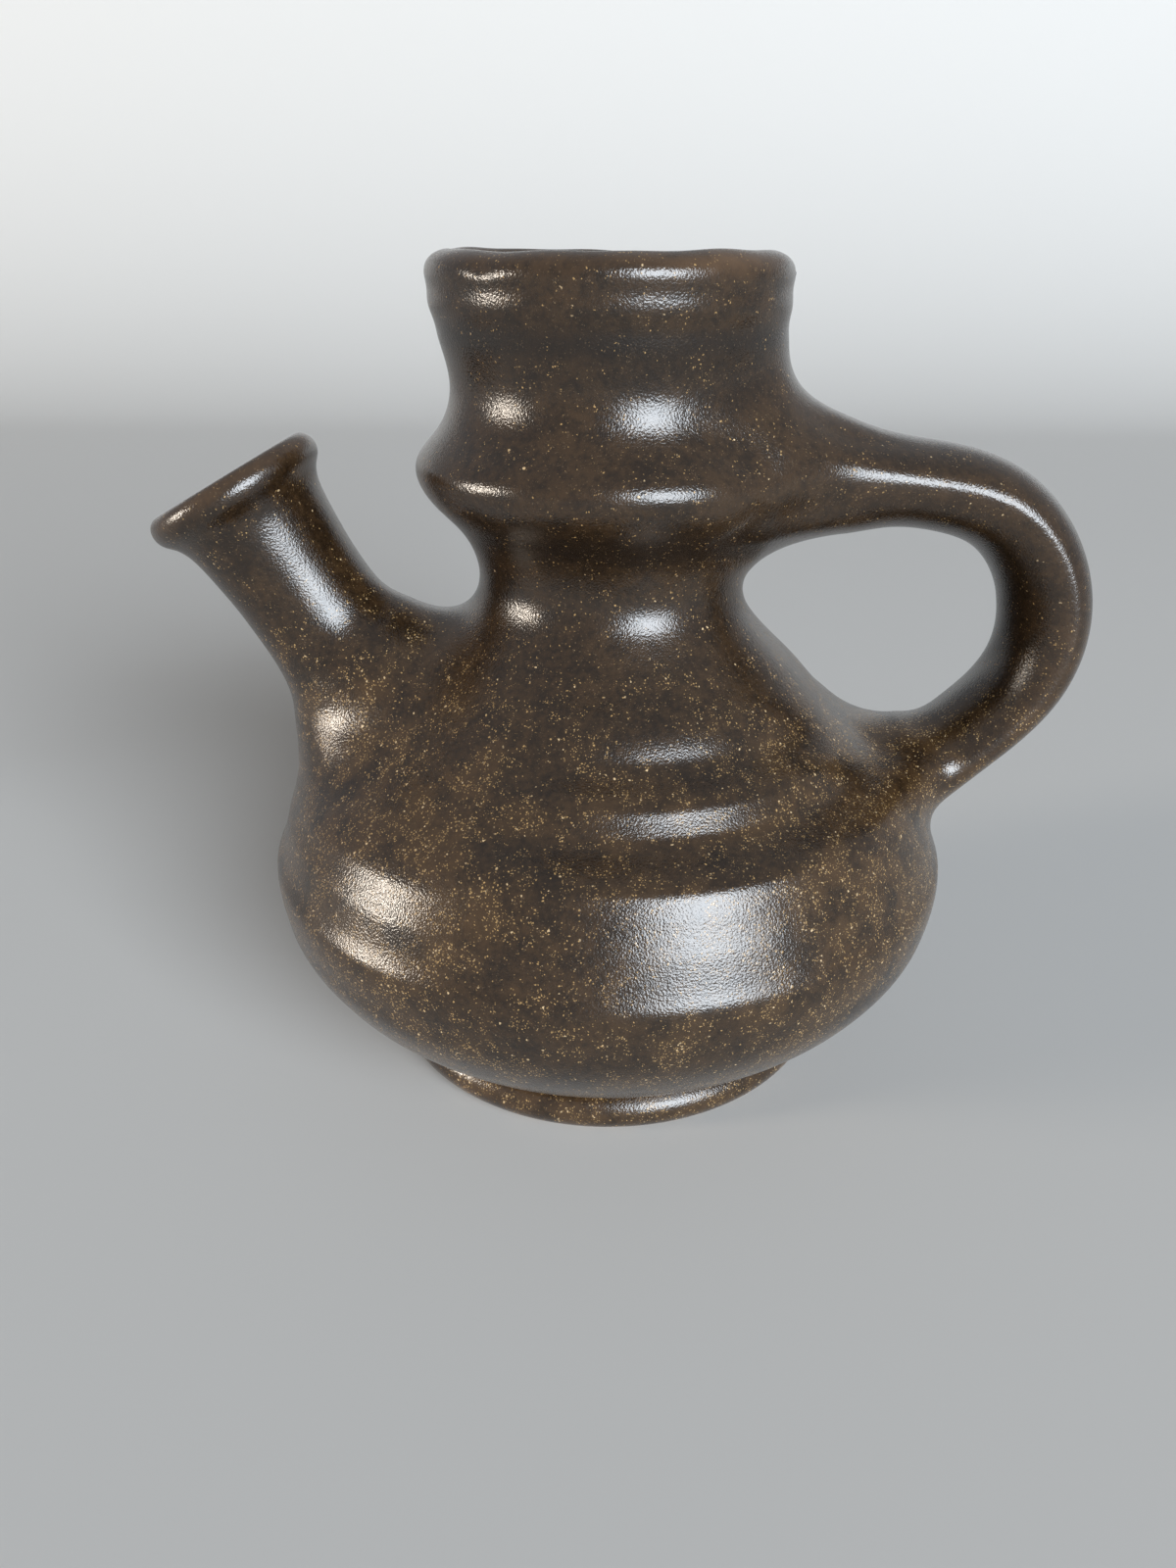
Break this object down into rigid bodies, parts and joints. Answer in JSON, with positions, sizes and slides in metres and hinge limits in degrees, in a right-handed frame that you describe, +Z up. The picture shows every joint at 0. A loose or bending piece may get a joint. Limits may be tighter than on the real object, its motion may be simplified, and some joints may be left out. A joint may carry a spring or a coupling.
{
  "type": "jug vase",
  "caption": "Squat stoneware jug vase with an open collar neck, a slanted side spout with a rolled lip, an ear handle and a foot ring, in speckled brown glaze.",
  "frame": {"origin": "centre of the bounding box on the plane that the foot ring stands on; the wheel's turning axis is upright and 4 mm from it towards the spout", "axes": "+X from the spout to the handle, +Y away from the viewer of the picture, +Z up along the turning axis"},
  "size_m": [0.1839, 0.142, 0.16],
  "materials": {
    "body_glaze": "satin",
    "collar_glaze": "satin",
    "foot_glaze": "satin"
  },
  "bodies": {
    "root": {"foot_ring": "foot_glaze", "lower_bowl": "body_glaze", "shoulder_dome": "body_glaze", "collar": "collar_glaze", "spout": "body_glaze", "handle": "body_glaze"}
  },
  "joints": []
}
